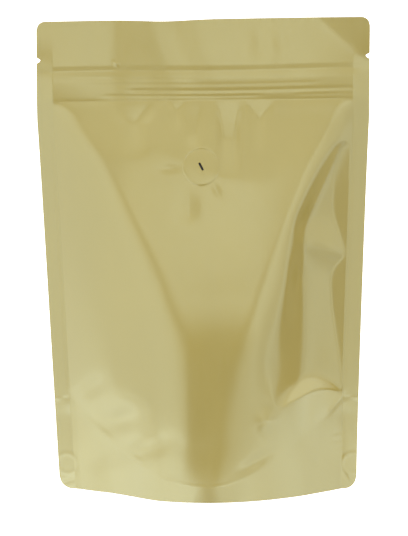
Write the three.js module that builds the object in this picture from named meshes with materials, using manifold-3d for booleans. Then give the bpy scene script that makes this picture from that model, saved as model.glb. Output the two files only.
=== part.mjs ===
// A stand-up coffee pouch of satin gold film with a one-way valve: shut, filled and standing.
// Units are millimetres, +Z is up, and the front of the bag looks towards -Y.
// The origin lies under the middle of the bag's box, on the surface that it stands on.
import * as THREE from "three";
import { mergeVertices } from "three/addons/utils/BufferGeometryUtils.js";
import Module from "manifold-3d";

const wasm = await Module();
wasm.setup();

const { clamp, lerp, smoothstep, degToRad } = THREE.MathUtils;

// Driving dimensions of the bag
const FILM_WIDTH = 165; // flat width, seal edge to seal edge
const STAND_HEIGHT = 239.8; // floor to the top edge of the side seals
const SIDE_SEAL = 8; // width of the flat heat seal down each side
const TOP_CORNER = 4.2; // rounding of the two upper cut corners
const BASE_CORNER = 6.5; // rounding of the two lower ones
const SEAL_THICKNESS = 0.6; // both films pressed together
const BASE_HALF_DEPTH = 28.5; // reach of the base arc from the midplane, front and back alike
const BASE_HALF_WIDTH = 75.3; // half the bag's width at the floor
const TAPER_TOP = 190; // height above which the bag keeps its full width
const TAPER_POWER = 0.9; // how straight the side edges run down to the base
const WEDGE_FOOT = 83; // height where the flat triangle of each panel comes to its point
const WEDGE_TOP = 200; // height where both panels meet below the zip
const WEDGE_BLEND = 0.13; // softness of the bend at the triangle's point, as a share of its height
const ARC_POWER = 2.1; // roundness of the base arc
const LEFT_PINCH = 0.42; // share of a slack, bell-shaped curve in the left half of the base arc
const PINCH_TOP = 80; // height where that slackness has run out
const LEAN_SHIFT = 2.8; // sideways drift of the upper part, to the left
const LEAN_TOP = 200; // height where that drift is complete
const LEAN_POWER = 0.7; // below 1 more of the drift lies near the base
const LEAN_RISE = 0.0165; // rise of the top edge for each millimetre to the right

// Bottom gusset
const GUSSET_HEIGHT = 47; // where its fold meets the side seals
const SKIRT_HEIGHT = 8; // lowest point of the curved bottom seal
const SKIRT_THICKNESS = 0.7; // panel and gusset films sealed together
const ARC_BEND = 1.2; // how far out the curved seal starts to climb
const SEAL_STEP = 1.3; // the full bag swells this far out above the curved seal
const SEAL_STEP_RISE = 9; // height over which it does so
const GUSSET_SAG = -4; // the filled gusset would hang this low, so the floor flattens it
const TENT_START = 0.42; // share of the half width where the gusset starts to rise
const TENT_END = 1.02; // share where it would reach the height of its fold
const TENT_POWER = 1.4; // how late it climbs between the two
const RECESS_END = 0.96; // share of the half width where the two skirts close up

// Zip closure
const ZIP_RIBS = [
  { height: 203.6, reach: 0.75 },
  { height: 207.2, reach: 0.9 },
  { height: 211.4, reach: 0.5 },
  { height: 215.8, reach: 0.35 },
];
const ZIP_RIB_HALF = 1.3; // half the width of one rib
const ZIP_FADE = 5; // length over which the ribs run out into the side seals

// Top lip and tear notches
const LIP_START = 217; // the lip begins above the zip
const LIP_WAVES = [
  { place: -22, width: 15, reach: 3.6 },
  { place: -44, width: 13, reach: -1.5 },
  { place: 30, width: 24, reach: -1.2 },
  { place: 70, width: 12, reach: 1.6 },
];
const NOTCH = { height: 219.8, depth: 2.4, mouth: 2.8, tip: 0.4 };

// The crease in the right half of the front panel, as points across and up the panel
const CREASE = [
  [66, 178],
  [57, 162],
  [48.5, 142],
  [44.5, 119],
  [43, 83],
  [37, 48],
];
const CREASE_DEPTH = 2.6;
const CREASE_WIDTH = 7;
const CREASE_FADE = 0.7; // below 1 the crease keeps its depth further towards its ends

// Valve
const VALVE_RADIUS = 9.5;
const VALVE_HEIGHT = 167;
const VALVE_PROUD = 0.7; // stands this far out of the film
const VALVE_SUNK = 1.1; // and is seated this deep
const VALVE_EDGE = 0.5; // rounding of its rim
const VALVE_RING = { inner: 6.9, outer: 8.2, depth: 0.25 }; // weld groove
const VALVE_GAP = 0.3; // clearance to the seat
const SLIT = { length: 4.3, width: 1.1, depth: 1.2, turn: 28 };

// Mesh density
const PANEL_COLUMNS = 28;
const CORNER_STEPS = 4;
const BODY_STEP = 7;
const ZIP_STEP = 1.1;
const LIP_STEP = 5.5;
const RECESS_COLUMNS = 36;
const GUSSET_STEPS = 5;
const GUSSET_RIM = 0.08; // least half width of the gusset's middle strip, as a share
const CREASE_STEPS = 5; // for each stretch between two points
const DISC_SIDES = 48;
const SLIT_STEPS = 6;
const CUT_EXTRA = 2; // a cutter stands out of what it cuts by this much
const FLOOR_CUT = 6; // and below the floor by this much
const LIP_CUT = 12; // thickness of a cutter that takes in the whole wave of the lip
const WELD_GAP = 1e-4; // points closer than this are one point

const HALF_FILM = FILM_WIDTH / 2;
const INNER_FILM = HALF_FILM - SIDE_SEAL;
const TOP_BAND = TOP_CORNER + 1; // height over which rows follow a rounded upper corner
const BASE_BAND = BASE_CORNER + 1; // and a lower one
const ZIP_FOOT = WEDGE_TOP + 1; // the fine rows of the zip start here

const FOIL = { color: 0xc2b67c, roughness: 0.42, metalness: 0.9 };
const VALVE_FOIL = { color: 0xbcb078, roughness: 0.38, metalness: 0.9 };

// Half the bag's width at a height, out to the cut edge of the side seal.
function halfWidth(z) {
  const climb = clamp(1 - z / TAPER_TOP, 0, 1);
  return HALF_FILM - (HALF_FILM - BASE_HALF_WIDTH) * climb ** TAPER_POWER;
}

// Where a point of the flat film comes to lie across the standing bag.
function acrossAt(film, z) {
  const inner = halfWidth(z) - SIDE_SEAL;
  const side = Math.sign(film);
  const out = Math.abs(film);
  if (out <= INNER_FILM) return (film / INNER_FILM) * inner;
  return side * (inner + out - INNER_FILM);
}

// Share of the half width, from 0 in the middle to 1 at the side seal.
function shareAt(film) {
  return clamp(Math.abs(film) / INNER_FILM, 0, 1);
}

// Share of the panel's width that is flat at a height, from 0 at the foot of the triangle to 1
// at the zip, with a soft bend at the foot.
function flatShare(z) {
  const soft = (rise) => (rise + Math.hypot(rise, WEDGE_BLEND)) / 2;
  return soft((z - WEDGE_FOOT) / (WEDGE_TOP - WEDGE_FOOT)) / soft(1);
}

// Height of the curved bottom seal above the floor.
function sealArc(share) {
  const climb = Math.sin((Math.PI / 2) * share ** ARC_BEND) ** 2;
  return lerp(SKIRT_HEIGHT, GUSSET_HEIGHT, climb);
}

// Depth of one panel from the midplane. Near the floor it is an arc. Higher up a flat triangle
// leans back to the zip, with a cone on each side that starts from the zip's end.
function panelDepth(film, z) {
  const flat = flatShare(z);
  if (flat >= 1) return 0;
  const share = shareAt(film);
  const along = clamp((1 - share) / (1 - flat), 0, 1);
  const slack = film < 0 ? LEFT_PINCH * (1 - smoothstep(z, 0, PINCH_TOP)) : 0;
  const round = 1 - (1 - along) ** ARC_POWER;
  const bell = Math.sin((Math.PI / 2) * along) ** 2;
  const swell = SEAL_STEP * smoothstep(z - sealArc(share), 0, SEAL_STEP_RISE) * along;
  return (BASE_HALF_DEPTH - SEAL_STEP + swell) * (1 - flat) * lerp(round, bell, slack);
}

// Relief of the zip under the film.
function zipRelief(film, z) {
  const end = HALF_FILM - SIDE_SEAL / 2 - Math.abs(film);
  const fade = smoothstep(end, 0, ZIP_FADE);
  const bump = ({ height, reach }) => {
    const off = clamp(Math.abs(z - height) / ZIP_RIB_HALF, 0, 1);
    return reach * Math.cos((Math.PI / 2) * off) ** 2;
  };
  return fade * ZIP_RIBS.reduce((sum, rib) => sum + bump(rib), 0);
}

// Sideways wave of the open lip above the zip, towards the front.
function lipWave(film, z) {
  const rise = smoothstep(z, LIP_START, STAND_HEIGHT);
  const hill = ({ place, width, reach }) => reach * Math.exp(-(((film - place) / width) ** 2));
  return rise * LIP_WAVES.reduce((sum, wave) => sum + hill(wave), 0);
}

const creaseLine = new THREE.CatmullRomCurve3(
  CREASE.map(([across, up]) => new THREE.Vector3(across, 0, up)),
).getPoints(CREASE_STEPS * CREASE.length);

// How far the crease draws the front panel inwards, fading out at both its ends.
function creaseDepth(across, z) {
  const here = new THREE.Vector3(across, 0, z);
  const gaps = creaseLine.map((point) => point.distanceTo(here));
  const nearest = gaps.indexOf(Math.min(...gaps));
  const along = nearest / (creaseLine.length - 1);
  const strength = Math.sin(Math.PI * along) ** CREASE_FADE;
  return CREASE_DEPTH * strength * Math.exp(-((gaps[nearest] / CREASE_WIDTH) ** 2));
}

// The bag leans a little: the top drifts to the left and its right end rises.
function leaning(x, y, z) {
  const drift = LEAN_SHIFT * clamp(z / LEAN_TOP, 0, 1) ** LEAN_POWER;
  return new THREE.Vector3(x - drift, y, z + (LEAN_RISE * x * z) / STAND_HEIGHT);
}

// A point of the outer surface, with side -1 for the front panel and +1 for the back.
function panelPoint(film, z, side) {
  const across = acrossAt(film, z);
  const crease = side < 0 ? creaseDepth(across, z) : 0;
  const share = shareAt(film);
  const depth = share < 1 ? Math.max(panelDepth(film, z) - crease, 0) : 0;
  const thick = SEAL_THICKNESS / 2 + zipRelief(film, z);
  return leaning(across, side * (depth + thick) - lipWave(film, z), z);
}

// Distances of the mesh columns from the middle, close together where the corners round off.
function filmColumns() {
  const corner = [];
  for (let k = 0; k <= CORNER_STEPS; k++) {
    const turn = (Math.PI / 2) * (k / CORNER_STEPS);
    corner.push(HALF_FILM - BASE_CORNER * (1 - Math.cos(turn)));
  }
  const inner = [];
  for (let k = 0; k <= PANEL_COLUMNS; k++) inner.push(lerp(INNER_FILM, -INNER_FILM, k / PANEL_COLUMNS));
  const right = [...corner, ...inner];
  return [...right, ...corner.map((film) => -film).reverse()].reverse();
}

// Evenly spaced heights from one level up to the next, without the upper one.
function levels(low, high, step) {
  const count = Math.round((high - low) / step);
  return Array.from({ length: count }, (_, k) => lerp(low, high, k / count));
}

function rowHeights() {
  return [
    ...levels(0, BASE_BAND, BASE_BAND / 2),
    ...levels(BASE_BAND, ZIP_FOOT, BODY_STEP),
    ...levels(ZIP_FOOT, LIP_START, ZIP_STEP),
    ...levels(LIP_START, STAND_HEIGHT - TOP_BAND, LIP_STEP),
    ...levels(STAND_HEIGHT - TOP_BAND, STAND_HEIGHT, TOP_BAND / 2),
    STAND_HEIGHT,
  ];
}

// Moves the rows near the floor and the top edge so that they follow the rounded corners.
function roundedHeight(film, z) {
  const cut = (radius) => {
    const past = clamp(Math.abs(film) - (HALF_FILM - radius), 0, radius);
    return radius - Math.sqrt(radius ** 2 - past ** 2);
  };
  if (z < BASE_BAND) return z + cut(BASE_CORNER) * (1 - z / BASE_BAND);
  return z - cut(TOP_CORNER) * clamp(1 - (STAND_HEIGHT - z) / TOP_BAND, 0, 1);
}

// Closed mesh through rings of equal length, each ring wound the same way, with flat ends.
function loftGeometry(rings) {
  const size = rings[0].length;
  const positions = rings.flat().flatMap((point) => point.toArray());
  const faces = [];
  for (let i = 0; i + 1 < rings.length; i++) {
    for (let j = 0; j < size; j++) {
      const a = i * size + j;
      const b = i * size + ((j + 1) % size);
      faces.push(a, a + size, b, b, a + size, b + size);
    }
  }
  const last = (rings.length - 1) * size;
  for (let low = 0, high = size - 1; low + 1 < high; low++, high--) {
    const strips = [[low, low + 1, high], ...(low + 1 < high - 1 ? [[low + 1, high - 1, high]] : [])];
    for (const [a, b, c] of strips) faces.push(a, b, c, last + a, last + c, last + b);
  }
  const geometry = new THREE.BufferGeometry();
  geometry.setAttribute("position", new THREE.Float32BufferAttribute(positions, 3));
  return geometry.setIndex(faces);
}

// The bag's outside: one ring for each column, up the front and down the back.
function outerGeometry() {
  const heights = rowHeights();
  const ring = (film) => {
    const front = heights.map((z) => panelPoint(film, roundedHeight(film, z), -1));
    const back = heights.map((z) => panelPoint(film, roundedHeight(film, z), 1));
    return [...front, ...back.reverse()];
  };
  return loftGeometry(filmColumns().map(ring));
}

// The hollow under the gusset, between the two skirts that the bag stands on.
// Each ring of it has points where the gusset comes down to the floor.
function recessGeometry() {
  const ring = (film) => {
    const share = shareAt(film);
    const arc = sealArc(share);
    const climb = smoothstep(share, TENT_START, TENT_END) ** TENT_POWER;
    const fold = lerp(GUSSET_SAG, GUSSET_HEIGHT, climb);
    const rim = Math.sqrt(clamp(-fold / (arc - fold), GUSSET_RIM ** 2, 1));
    const reach = (z) => panelDepth(film, Math.max(z, 0)) + SEAL_THICKNESS / 2 - SKIRT_THICKNESS;
    const front = [-FLOOR_CUT, 0, arc / 2].map((z) => leaning(acrossAt(film, z), -reach(z), z));
    for (let k = 0; k <= GUSSET_STEPS; k++) {
      const off = lerp(1, rim, k / GUSSET_STEPS);
      const z = lerp(fold, arc, off ** 2);
      front.push(leaning(acrossAt(film, z), -off * reach(arc), z));
    }
    const middle = leaning(acrossAt(film, fold), 0, fold);
    const back = front.map((point) => new THREE.Vector3(point.x, -point.y, point.z)).reverse();
    return [...front, middle, ...back];
  };
  const end = RECESS_END * INNER_FILM;
  const rings = [];
  for (let k = 0; k <= RECESS_COLUMNS; k++) rings.push(ring(lerp(-end, end, k / RECESS_COLUMNS)));
  return loftGeometry(rings);
}

// A notch cutter at one side edge: a wedge whose point lies in the seal.
function notchGeometry(side) {
  const flare = (NOTCH.mouth - NOTCH.tip) / 2 / NOTCH.depth;
  const mouth = NOTCH.mouth / 2 + flare * CUT_EXTRA;
  const outline = new THREE.Shape([
    new THREE.Vector2(side * CUT_EXTRA, -mouth),
    new THREE.Vector2(-side * NOTCH.depth, -NOTCH.tip / 2),
    new THREE.Vector2(-side * NOTCH.depth, NOTCH.tip / 2),
    new THREE.Vector2(side * CUT_EXTRA, mouth),
  ]);
  const wedge = new THREE.ExtrudeGeometry(outline, { depth: LIP_CUT, bevelEnabled: false });
  const place = leaning(side * HALF_FILM, 0, NOTCH.height);
  return wedge.translate(0, 0, -LIP_CUT / 2).rotateX(Math.PI / 2).translate(place.x, place.y, place.z);
}

// Where the valve sits: its middle on the panel, with +Z of the frame out of the film.
function valveFrame() {
  const rim = VALVE_RADIUS;
  const middle = panelPoint(0, VALVE_HEIGHT, -1);
  const right = panelPoint(rim, VALVE_HEIGHT, -1).sub(panelPoint(-rim, VALVE_HEIGHT, -1)).normalize();
  const up = panelPoint(0, VALVE_HEIGHT + rim, -1).sub(panelPoint(0, VALVE_HEIGHT - rim, -1));
  const out = right.clone().cross(up).normalize();
  return new THREE.Matrix4().makeBasis(right, out.clone().cross(right), out).setPosition(middle);
}

// Valve disc about its own axis, from its seated face up to the crowned, ringed front.
function discGeometry() {
  const { inner, outer, depth } = VALVE_RING;
  const mid = (inner + outer) / 2;
  const bevel = VALVE_EDGE * (1 - Math.SQRT1_2);
  const profile = [
    [0, -VALVE_SUNK],
    [VALVE_RADIUS, -VALVE_SUNK],
    [VALVE_RADIUS, VALVE_PROUD - VALVE_EDGE],
    [VALVE_RADIUS - bevel, VALVE_PROUD - bevel],
    [VALVE_RADIUS - VALVE_EDGE, VALVE_PROUD],
    [outer, VALVE_PROUD],
    [mid, VALVE_PROUD - depth],
    [inner, VALVE_PROUD],
    [0, VALVE_PROUD],
  ].map(([r, z]) => new THREE.Vector2(r, z));
  return new THREE.LatheGeometry(profile, DISC_SIDES).rotateX(Math.PI / 2);
}

// The vent slit, a slot with round ends cut into the front of the valve.
function slitGeometry() {
  const end = SLIT.width / 2;
  const half = SLIT.length / 2 - end;
  const outline = new THREE.Shape();
  outline.absarc(0, half, end, 0, Math.PI, false);
  outline.absarc(0, -half, end, Math.PI, 2 * Math.PI, false);
  const slot = new THREE.ExtrudeGeometry(outline, {
    depth: SLIT.depth + CUT_EXTRA,
    bevelEnabled: false,
    curveSegments: SLIT_STEPS,
  });
  return slot.translate(0, 0, VALVE_PROUD - SLIT.depth).rotateZ(degToRad(SLIT.turn));
}

// The seat that the valve needs in the bag, a little larger than the disc.
function seatGeometry() {
  const low = -VALVE_SUNK - VALVE_GAP;
  const high = VALVE_PROUD + CUT_EXTRA;
  const radius = VALVE_RADIUS + VALVE_GAP;
  const seat = new THREE.CylinderGeometry(radius, radius, high - low, DISC_SIDES);
  return seat.rotateX(Math.PI / 2).translate(0, 0, (high + low) / 2);
}

// A closed three.js geometry as a solid for cutting.
function solid(geometry) {
  const bare = geometry.clone();
  bare.deleteAttribute("normal");
  bare.deleteAttribute("uv");
  const merged = mergeVertices(bare, WELD_GAP);
  const corners = merged.index.array;
  const triVerts = [];
  for (let i = 0; i < corners.length; i += 3) {
    const [a, b, c] = corners.slice(i, i + 3);
    if (a !== b && b !== c && c !== a) triVerts.push(a, b, c);
  }
  return new wasm.Manifold(
    new wasm.Mesh({
      numProp: 3,
      vertProperties: Float32Array.from(merged.attributes.position.array),
      triVerts: Uint32Array.from(triVerts),
    }),
  );
}

// A cut solid as a three.js geometry again.
function geometryOf(made) {
  const mesh = made.getMesh();
  const geometry = new THREE.BufferGeometry();
  geometry.setAttribute("position", new THREE.BufferAttribute(mesh.vertProperties, mesh.numProp));
  geometry.setIndex(new THREE.BufferAttribute(mesh.triVerts, 1));
  geometry.computeVertexNormals();
  return geometry;
}

function pouch(seatFrame) {
  const cutters = [
    recessGeometry(),
    notchGeometry(-1),
    notchGeometry(1),
    seatGeometry().applyMatrix4(seatFrame),
  ];
  const made = cutters.reduce((rest, cutter) => rest.subtract(solid(cutter)), solid(outerGeometry()));
  const mesh = new THREE.Mesh(geometryOf(made), new THREE.MeshStandardMaterial(FOIL));
  mesh.name = "pouch";
  return mesh;
}

function valve(seatFrame) {
  const made = solid(discGeometry()).subtract(solid(slitGeometry()));
  const mesh = new THREE.Mesh(geometryOf(made), new THREE.MeshStandardMaterial(VALVE_FOIL));
  mesh.name = "valve";
  mesh.applyMatrix4(seatFrame);
  return mesh;
}

const seatFrame = valveFrame();
const coffeeBag = new THREE.Group();
coffeeBag.add(pouch(seatFrame), valve(seatFrame));

// Brings the middle of the bag's footprint box over the origin and its lowest edge to the floor.
const box = new THREE.Box3().setFromObject(coffeeBag, true);
const middle = box.getCenter(new THREE.Vector3());
for (const piece of coffeeBag.children) piece.position.sub(new THREE.Vector3(middle.x, middle.y, box.min.z));

export default coffeeBag;
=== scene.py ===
# %% [markdown]
# # A coffee bag with a valve
# The object is a stand-up pouch for coffee. Two panels of satin gold film are heat-sealed down both
# sides, a third film is folded up between them as the bottom gusset, and a zip runs under the lip.
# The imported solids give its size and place. Everything here is worked out in millimetres on the flat
# film and turned into metres when a mesh is made.

import bmesh
import bpy
import numpy as np
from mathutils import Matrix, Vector


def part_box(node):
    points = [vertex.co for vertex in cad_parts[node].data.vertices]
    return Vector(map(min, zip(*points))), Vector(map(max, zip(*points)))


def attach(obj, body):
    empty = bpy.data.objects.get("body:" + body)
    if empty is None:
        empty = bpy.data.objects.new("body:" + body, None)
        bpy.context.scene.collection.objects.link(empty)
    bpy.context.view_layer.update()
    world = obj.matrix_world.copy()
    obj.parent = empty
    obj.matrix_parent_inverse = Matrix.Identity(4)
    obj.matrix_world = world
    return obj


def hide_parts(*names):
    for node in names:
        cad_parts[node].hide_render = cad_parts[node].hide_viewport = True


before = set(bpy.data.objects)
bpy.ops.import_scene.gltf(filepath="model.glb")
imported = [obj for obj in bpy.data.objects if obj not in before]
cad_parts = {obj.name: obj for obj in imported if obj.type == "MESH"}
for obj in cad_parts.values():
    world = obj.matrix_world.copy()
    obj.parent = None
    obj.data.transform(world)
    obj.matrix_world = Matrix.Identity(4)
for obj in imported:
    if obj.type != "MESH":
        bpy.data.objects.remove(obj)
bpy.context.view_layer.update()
MM = 0.001
print("solids in the frame:", sorted(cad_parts))

# %% [markdown]
# ## The driving sizes
# A stand-up pouch is known by its flat width, its height and the height of its gusset. These are the
# sizes that the solids have too, so the film lands where the solid pouch is. In the code below, "film"
# is a place across the flat film, counted from its middle to the right, and "z" is a height.

# %% Sizes of the bag
FILM_WIDTH = 166.0
STAND_HEIGHT = 239.8
SIDE_SEAL = 8.0
SEAL_THICKNESS = 0.36
GUSSET_HEIGHT = 47.5
SKIRT_HEIGHT = 8.2
HALF_FILM = FILM_WIDTH / 2
INNER_FILM = HALF_FILM - SIDE_SEAL
print("flat film, mm:", FILM_WIDTH, "x", STAND_HEIGHT)

# %% [markdown]
# ## Small curves that every fold is made of
# A film can't stretch, so its folds are made of a few simple curves: a soft step, a hump and a long
# dent that can be turned. The folds could be sculpted by hand too, but a curve that has a name can be
# measured and changed. The curves work on whole arrays, so one line shapes the entire panel.


# %% Step, hump and dent
def soft_step(value, low, high):
    """0 below, 1 above and a smooth bend between."""
    share = np.clip((value - low) / (high - low), 0, 1)
    return share * share * (3 - 2 * share)


def between(value, start, full, fading, end):
    """1 from full to fading, and 0 before the start and after the end."""
    return soft_step(value, start, full) * (1 - soft_step(value, fading, end))


def hump(value, middle, reach):
    return np.exp(-(((value - middle) / reach) ** 2))


def long_dent(film, z, place, length, width, turn=0.0):
    """An oval hump of height 1, with its long side turned from upright by some degrees to the right."""
    right, up = film - place[0], z - place[1]
    angle = np.radians(turn)
    along = up * np.cos(angle) + right * np.sin(angle)
    aside = right * np.cos(angle) - up * np.sin(angle)
    return np.exp(-((along / length) ** 2) - (aside / width) ** 2)


print("a step halfway:", soft_step(0.5, 0, 1))

# %% [markdown]
# Creases wander over the panel, so each is a smooth line through a few points. Between two creases the
# film is nearly flat. Such a facet is a straight slope with rounded corners.


# %% Crease line and facet
def bend_line(points):
    """A smooth line through a few (along, aside) points, for edges and creases on the panel."""
    knots, places = np.transpose(sorted(points))
    slopes = np.gradient(places, knots)

    def at(value):
        value = np.clip(value, knots[0], knots[-1])
        k = np.clip(np.searchsorted(knots, value) - 1, 0, len(knots) - 2)
        step = knots[k + 1] - knots[k]
        t = (value - knots[k]) / step
        start = (1 + 2 * t) * (1 - t) ** 2 * places[k] + t * (1 - t) ** 2 * step * slopes[k]
        return start + t**2 * (3 - 2 * t) * places[k + 1] - t**2 * (1 - t) * step * slopes[k + 1]

    return at


def soft(run, corner):
    """0 below, the run itself above, with a rounded corner between."""
    return (run + np.hypot(run, corner)) / 2


def facet(value, low, high, corner):
    """0 below, 1 above and a straight slope between, with rounded corners."""
    return (soft(value - low, corner) - soft(value - high, corner)) / (high - low)


print("a facet halfway:", facet(0.5, 0, 1, 0.1))

# %% [markdown]
# ## The form of a filled panel
# The open gusset draws the lower part of the bag narrower than its flat film. The side seals keep their
# width, so only the film between them is drawn in.

# %% Width of the panel
BASE_HALF_WIDTH = 76.0
TAPER_TOP, TAPER_POWER = 190.0, 0.9


def half_width(z):
    climb = np.clip(1 - z / TAPER_TOP, 0, 1)
    return HALF_FILM - (HALF_FILM - BASE_HALF_WIDTH) * climb**TAPER_POWER


def across(film, z):
    """The place across the standing bag of a place on the flat film."""
    inner = half_width(z) - SIDE_SEAL
    inside = film / INNER_FILM * inner
    outside = np.sign(film) * (inner + np.abs(film) - INNER_FILM)
    return np.where(np.abs(film) <= INNER_FILM, inside, outside)


def share_at(film):
    """0 in the middle of the panel and 1 at the side seals."""
    return np.clip(np.abs(film) / INNER_FILM, 0, 1)


print("width on the floor, mm:", round(2 * float(half_width(0.0)), 1))

# %% [markdown]
# A filled pouch that is shut flat at the top makes the same figure each time. From the zip a flat
# triangle leans down and forwards. On each side of it the film bends round a cone that starts at the
# zip's end. Below the triangle's point the panel is the arc of the open gusset. All of it bends one way
# only, as film does.

# %% Depth of the panel
BASE_HALF_DEPTH = 28.5
WEDGE_FOOT, WEDGE_TOP, WEDGE_BLEND = 83.0, 200.0, 0.17
# Heights of the triangle's point and of the place where its edge would meet the side seal.
LEFT_EDGE, RIGHT_EDGE = (85.5, 218.0), (55.0, 220.0)
ARC_POWER = 2.1
LEAST_SHARE = 1e-6
BELLY_HEIGHT = 30.0


def ramp(z, foot, top):
    """Rises from 0 at the foot to 1 at the top in a straight line, with a soft start."""
    return np.minimum(soft((z - foot) / (top - foot), WEDGE_BLEND) / soft(1.0, WEDGE_BLEND), 1)


def triangle_edge(film, z):
    """How far out the flat triangle reaches, as a share of the panel's half."""
    return np.where(film < 0, ramp(z, *LEFT_EDGE), ramp(z, *RIGHT_EDGE))


def body_depth(film, z):
    along = (1 - share_at(film)) / np.maximum(1 - triangle_edge(film, z), LEAST_SHARE)
    arc = 1 - (1 - np.clip(along, 0, 1)) ** ARC_POWER
    return BASE_HALF_DEPTH * (1 - ramp(z, WEDGE_FOOT, WEDGE_TOP)) * arc


print("depth of the belly, mm:", round(float(body_depth(0.0, BELLY_HEIGHT)), 1))

# %% [markdown]
# ## The bottom seal and the skirt
# The gusset is welded to each panel along a curve that hangs from the side seals. The curve is a little
# rounder on the left.

# %% Bottom seal
ARC_BEND_LEFT, ARC_BEND_RIGHT = 2.0, 1.7


def seal_arc(film):
    """Height of the bottom seal's upper edge."""
    bend = np.where(film < 0, ARC_BEND_LEFT, ARC_BEND_RIGHT)
    return SKIRT_HEIGHT + (GUSSET_HEIGHT - SKIRT_HEIGHT) * share_at(film) ** bend


print("seal curve above the floor, mm:", seal_arc(np.array([0.0, INNER_FILM / 2, INNER_FILM])).round(1))

# %% [markdown]
# Below the curve the two films are one stiff skirt that stands on its cut edge. The edge is rounder on
# the right and drawn in on the left. The coffee swells the panel above the seal, so the film hangs over
# it a little. In the middle the weld's edge stands out as a small step.

# %% Skirt and swell
FOOT_LINE = bend_line(
    [(-75, 0), (-72, 0.8), (-69, 2.2), (-64, 4.7), (-55, 9.1), (-42, 16.4), (-35, 20.6), (-28, 24)]
    + [(-21, 25.8), (-8, 27.6), (0, 28), (12, 27.1), (26, 24.6), (39, 20.4), (53, 14), (60, 9.6)]
    + [(67, 5.2), (71, 2.6), (73, 1.3), (75, 0)]
)
SKIRT_LEAN = bend_line(
    [(-75, 0), (-66, 0.04), (-45, 0.09), (-20, 0.12), (12, 0.12), (25, 0.04), (45, 0), (75, 0)]
)
SWELL_LINE = bend_line(
    [(-75, 54), (-57, 63), (-45, 58), (-35, 53), (-22, 40), (-10, 30), (0, 30)]
    + [(15, 34), (33, 45), (40, 53), (47, 60), (55, 64), (66, 60), (75, 51)]
)
SWELL_REACH = bend_line(
    [(-75, 0), (-62, 0.7), (-45, 1.1), (-30, 1.1), (-12, 0.5), (0, 0.1), (12, 0.1), (25, 0.5)]
    + [(40, 1.0), (52, 1.1), (62, 0.7), (75, 0)]
)
SWELL_TOP, SWELL_LEAST = 115.0, 4.0
SWELL_CORNER, SWELL_TOP_CORNER = 5.0, 8.0
WELD_STEP, WELD_RISE = 0.14, 1.4
WELD_SPAN = (-24, -12, 10, 26)


def skirted_depth(film, z):
    """The filled panel, drawn in to the skirt and its foot below the swell."""
    arc = seal_arc(film)
    skirt = FOOT_LINE(film) + SKIRT_LEAN(film) * np.minimum(z, arc)
    swell = np.maximum(SWELL_LINE(film), arc + SWELL_LEAST)
    fade = 1 - soft_step(z, arc, swell)
    weld = WELD_STEP * (1 - soft_step(z, arc, arc + WELD_RISE)) * between(film, *WELD_SPAN)
    belly = facet(z, arc, swell, SWELL_CORNER) * (1 - facet(z, swell, SWELL_TOP, SWELL_TOP_CORNER))
    base = body_depth(film, np.maximum(z, arc))
    top = body_depth(film, arc)
    drawn = np.where(z < arc, skirt - base, (skirt - top) * fade)
    return np.maximum(base + drawn + SWELL_REACH(film) * belly + weld, 0)


print("foot of the skirt before the seals' plane, mm:", round(float(skirted_depth(0.0, 0.0)), 1))

# %% [markdown]
# ## The long dent down the right side
# On the right the panel has given way along its whole height. Across the dent the film first turns in
# steeply, then runs on at a slant, and close to the seal it lies flat on the back panel. So the dent is
# three facets side by side, and each crease between them wanders as it goes up.

# %% Creases of the right dent
DENT_EDGE = bend_line(
    [(44, 33), (54, 34), (62, 35), (80, 37), (100, 40.5), (112, 42.5), (122, 43.5), (130, 44.5)]
    + [(143, 47.2), (152, 51), (162, 56), (172, 61.7), (182, 68)]
)
DENT_LEDGE = bend_line(
    [(44, 49), (54, 51), (62, 52), (70, 52.3), (80, 52), (100, 50.8), (112, 50), (120, 51), (128, 52.3)]
    + [(136, 51.8), (143, 54.6), (152, 59.3), (162, 64), (172, 68.4), (182, 72.4)]
)
DENT_REST = bend_line(
    [(44, 73.8), (58, 73.6), (70, 71.8), (80, 70), (98, 67), (106, 66.3), (114, 68.6), (122, 73)]
    + [(127, 71.5), (134, 68.5), (140, 66.5), (150, 66), (160, 66.3), (172, 69), (182, 73.4)]
)
STRIP_SLANT = bend_line(
    [(44, 0.38), (62, 0.4), (80, 0.44), (100, 0.46), (112, 0.45), (129, 0.45), (135, 0.4), (142, 0.31)]
    + [(150, 0.29), (160, 0.29), (172, 0.32), (182, 0.4)]
)
DENT_FOOT = bend_line([(30, 46), (40, 52), (48, 57.5), (56, 60), (66, 57), (75, 50)])
DENT_MEETS = bend_line(
    [(44, 0.5), (54, 0.5), (58, 1.4), (62, 2.6), (68, 3.8), (80, 3.8), (110, 2.5), (140, 1.8), (182, 1.4)]
)
DENT_MIDDLE = 100.0
print("dent's width halfway up, mm:", round(float(DENT_REST(DENT_MIDDLE) - DENT_EDGE(DENT_MIDDLE)), 1))

# %% [markdown]
# Halfway up the strip is pinched against the seal, and the pinch slants. At its foot the dent ends on a
# fold that looks up, firm near the seal and limp towards the middle. The film takes the deeper of the
# two forms, filled or dented, with a rounded fold where they meet.

# %% Shape of the right dent
REST_DEPTH, REST_FLAT = 0.3, 67.0
PINCH_FROM, PINCH_SLANT, PINCH_RISE = 73.0, 0.4, (95, 110)
CALM, CALM_RISE, CALM_FADE = 0.5, (84, 104), (48, 70)
STEEP_CORNER, STRIP_CORNER, REST_CORNER = 2.2, 1.6, 0.5
FOOT_SLOPE, FOOT_CORNER, FOOT_FIRM = 1.05, 2.0, (36, 52)
LIMP_SLOPE, LIMP_CORNER = 0.5, 7.0
DENT_TOP, DENT_TOP_SLOPE, DENT_TOP_CORNER = 178.0, 0.8, 2.0
MEETS_SPAN = (20, 36, 56, 74)


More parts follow.
